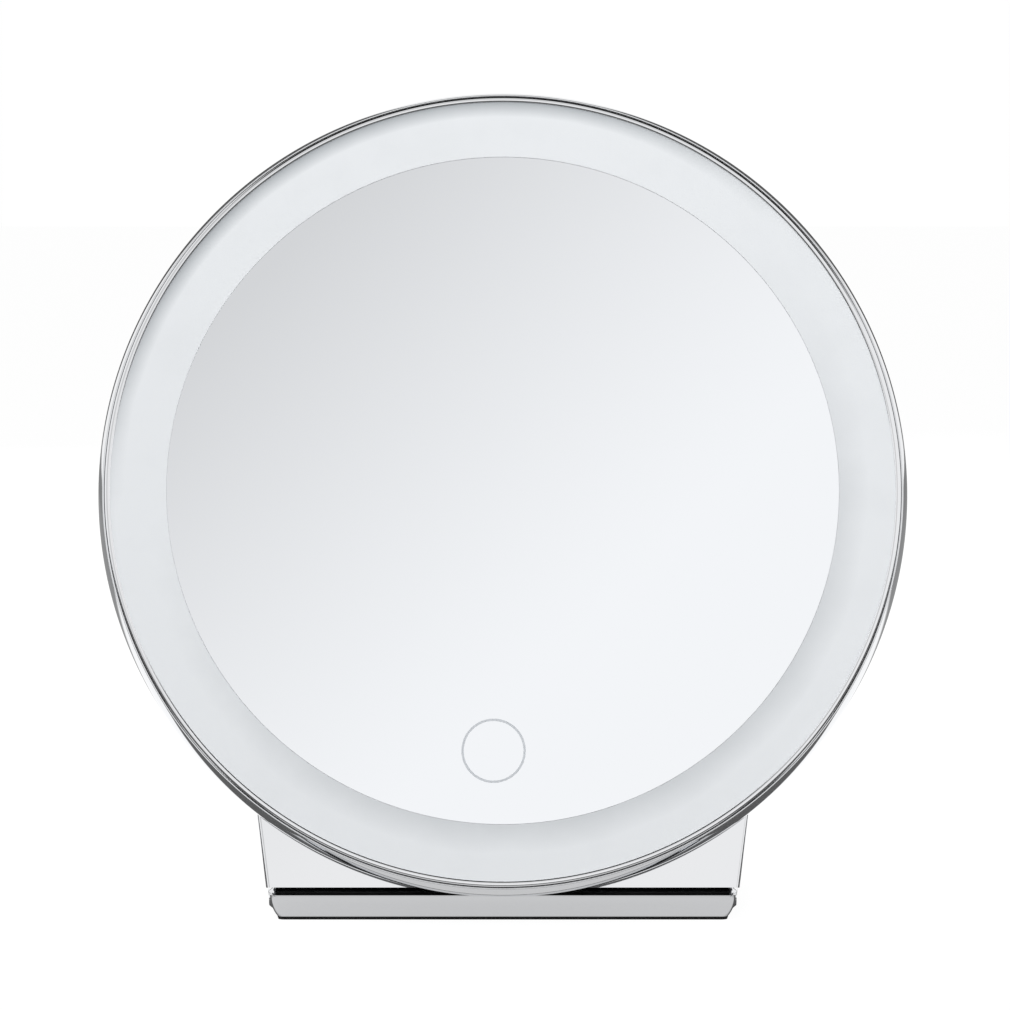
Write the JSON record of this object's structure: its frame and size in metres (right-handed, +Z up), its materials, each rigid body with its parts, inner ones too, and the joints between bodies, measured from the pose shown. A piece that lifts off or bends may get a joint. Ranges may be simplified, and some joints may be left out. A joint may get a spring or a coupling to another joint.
{
  "type": "lighted vanity mirror",
  "caption": "Round table mirror with a frosted light ring and chrome rim, tilting on a full-width barrel hinge over a flat chrome foot that it folds down onto.",
  "frame": {"origin": "centre of the foot's flat underside", "axes": "+Z up, +X to the right as the user faces the mirror, +Y away from the user, so the glass faces -Y"},
  "size_m": [0.2046, 0.1081, 0.2076],
  "materials": {
    "silvered_glass": "flat float glass, silvered on its back, with an etched touch ring",
    "opal_acrylic": "frosted opal acrylic, satin front face",
    "chrome_plate": "bright chrome plating, polished",
    "foam_tape": "closed-cell foam with adhesive",
    "white_abs": "moulded white ABS, fine texture",
    "white_board": "circuit board with white solder mask",
    "led_phosphor": "yellow phosphor in a white LED package",
    "copper_foil": "copper foil and plated spring brass",
    "green_board": "circuit board with green solder mask",
    "zinc_screw": "zinc-plated steel screw",
    "battery_wrap": "heat-sealed aluminium laminate pouch",
    "nickel_shell": "drawn steel shell, nickel plated",
    "black_abs": "moulded black ABS",
    "black_anodised": "black anodised aluminium, satin",
    "black_screw": "black oxide steel screw",
    "mild_steel": "plain mild steel, oiled",
    "black_silicone": "non-slip silicone sheet, matt"
  },
  "bodies": {
    "foot": {"foot_shell": "chrome_plate", "foot_weight": "mild_steel", "foot_base": "mild_steel", "foot_pad": "black_silicone", "foot_screws": "zinc_screw", "hinge_shaft": "mild_steel", "friction_washers": "mild_steel"},
    "head": {"mirror_glass": "silvered_glass", "diffuser_ring": "opal_acrylic", "bezel_ring": "chrome_plate", "rim_shell": "chrome_plate", "mirror_tape": "foam_tape", "light_tray": "white_abs", "led_board": "white_board", "led_chips": "led_phosphor", "touch_pad": "copper_foil", "touch_contact": "copper_foil", "control_board": "green_board", "power_board": "green_board", "board_screws": "zinc_screw", "battery_pack": "battery_wrap", "battery_foam": "foam_tape", "usb_socket": "nickel_shell", "switch_body": "nickel_shell", "back_cover": "white_abs", "cover_screws": "zinc_screw", "stand_panel": "chrome_plate", "panel_screws": "zinc_screw", "hinge_core": "black_anodised", "leaf_screws": "black_screw"},
    "slider": {"power_slider": "black_abs"}
  },
  "joints": [
    {"name": "head_tilt", "type": "hinge", "parent": "foot", "child": "head", "pos_m": [0, -0.0414, 0.0049], "axis": [-1, 0, 0], "range_deg": [-4, 75.5]},
    {"name": "power_switch", "type": "slide", "parent": "head", "child": "slider", "axis": [1, 0, 0], "range_m": [0, 0.0025]}
  ]
}
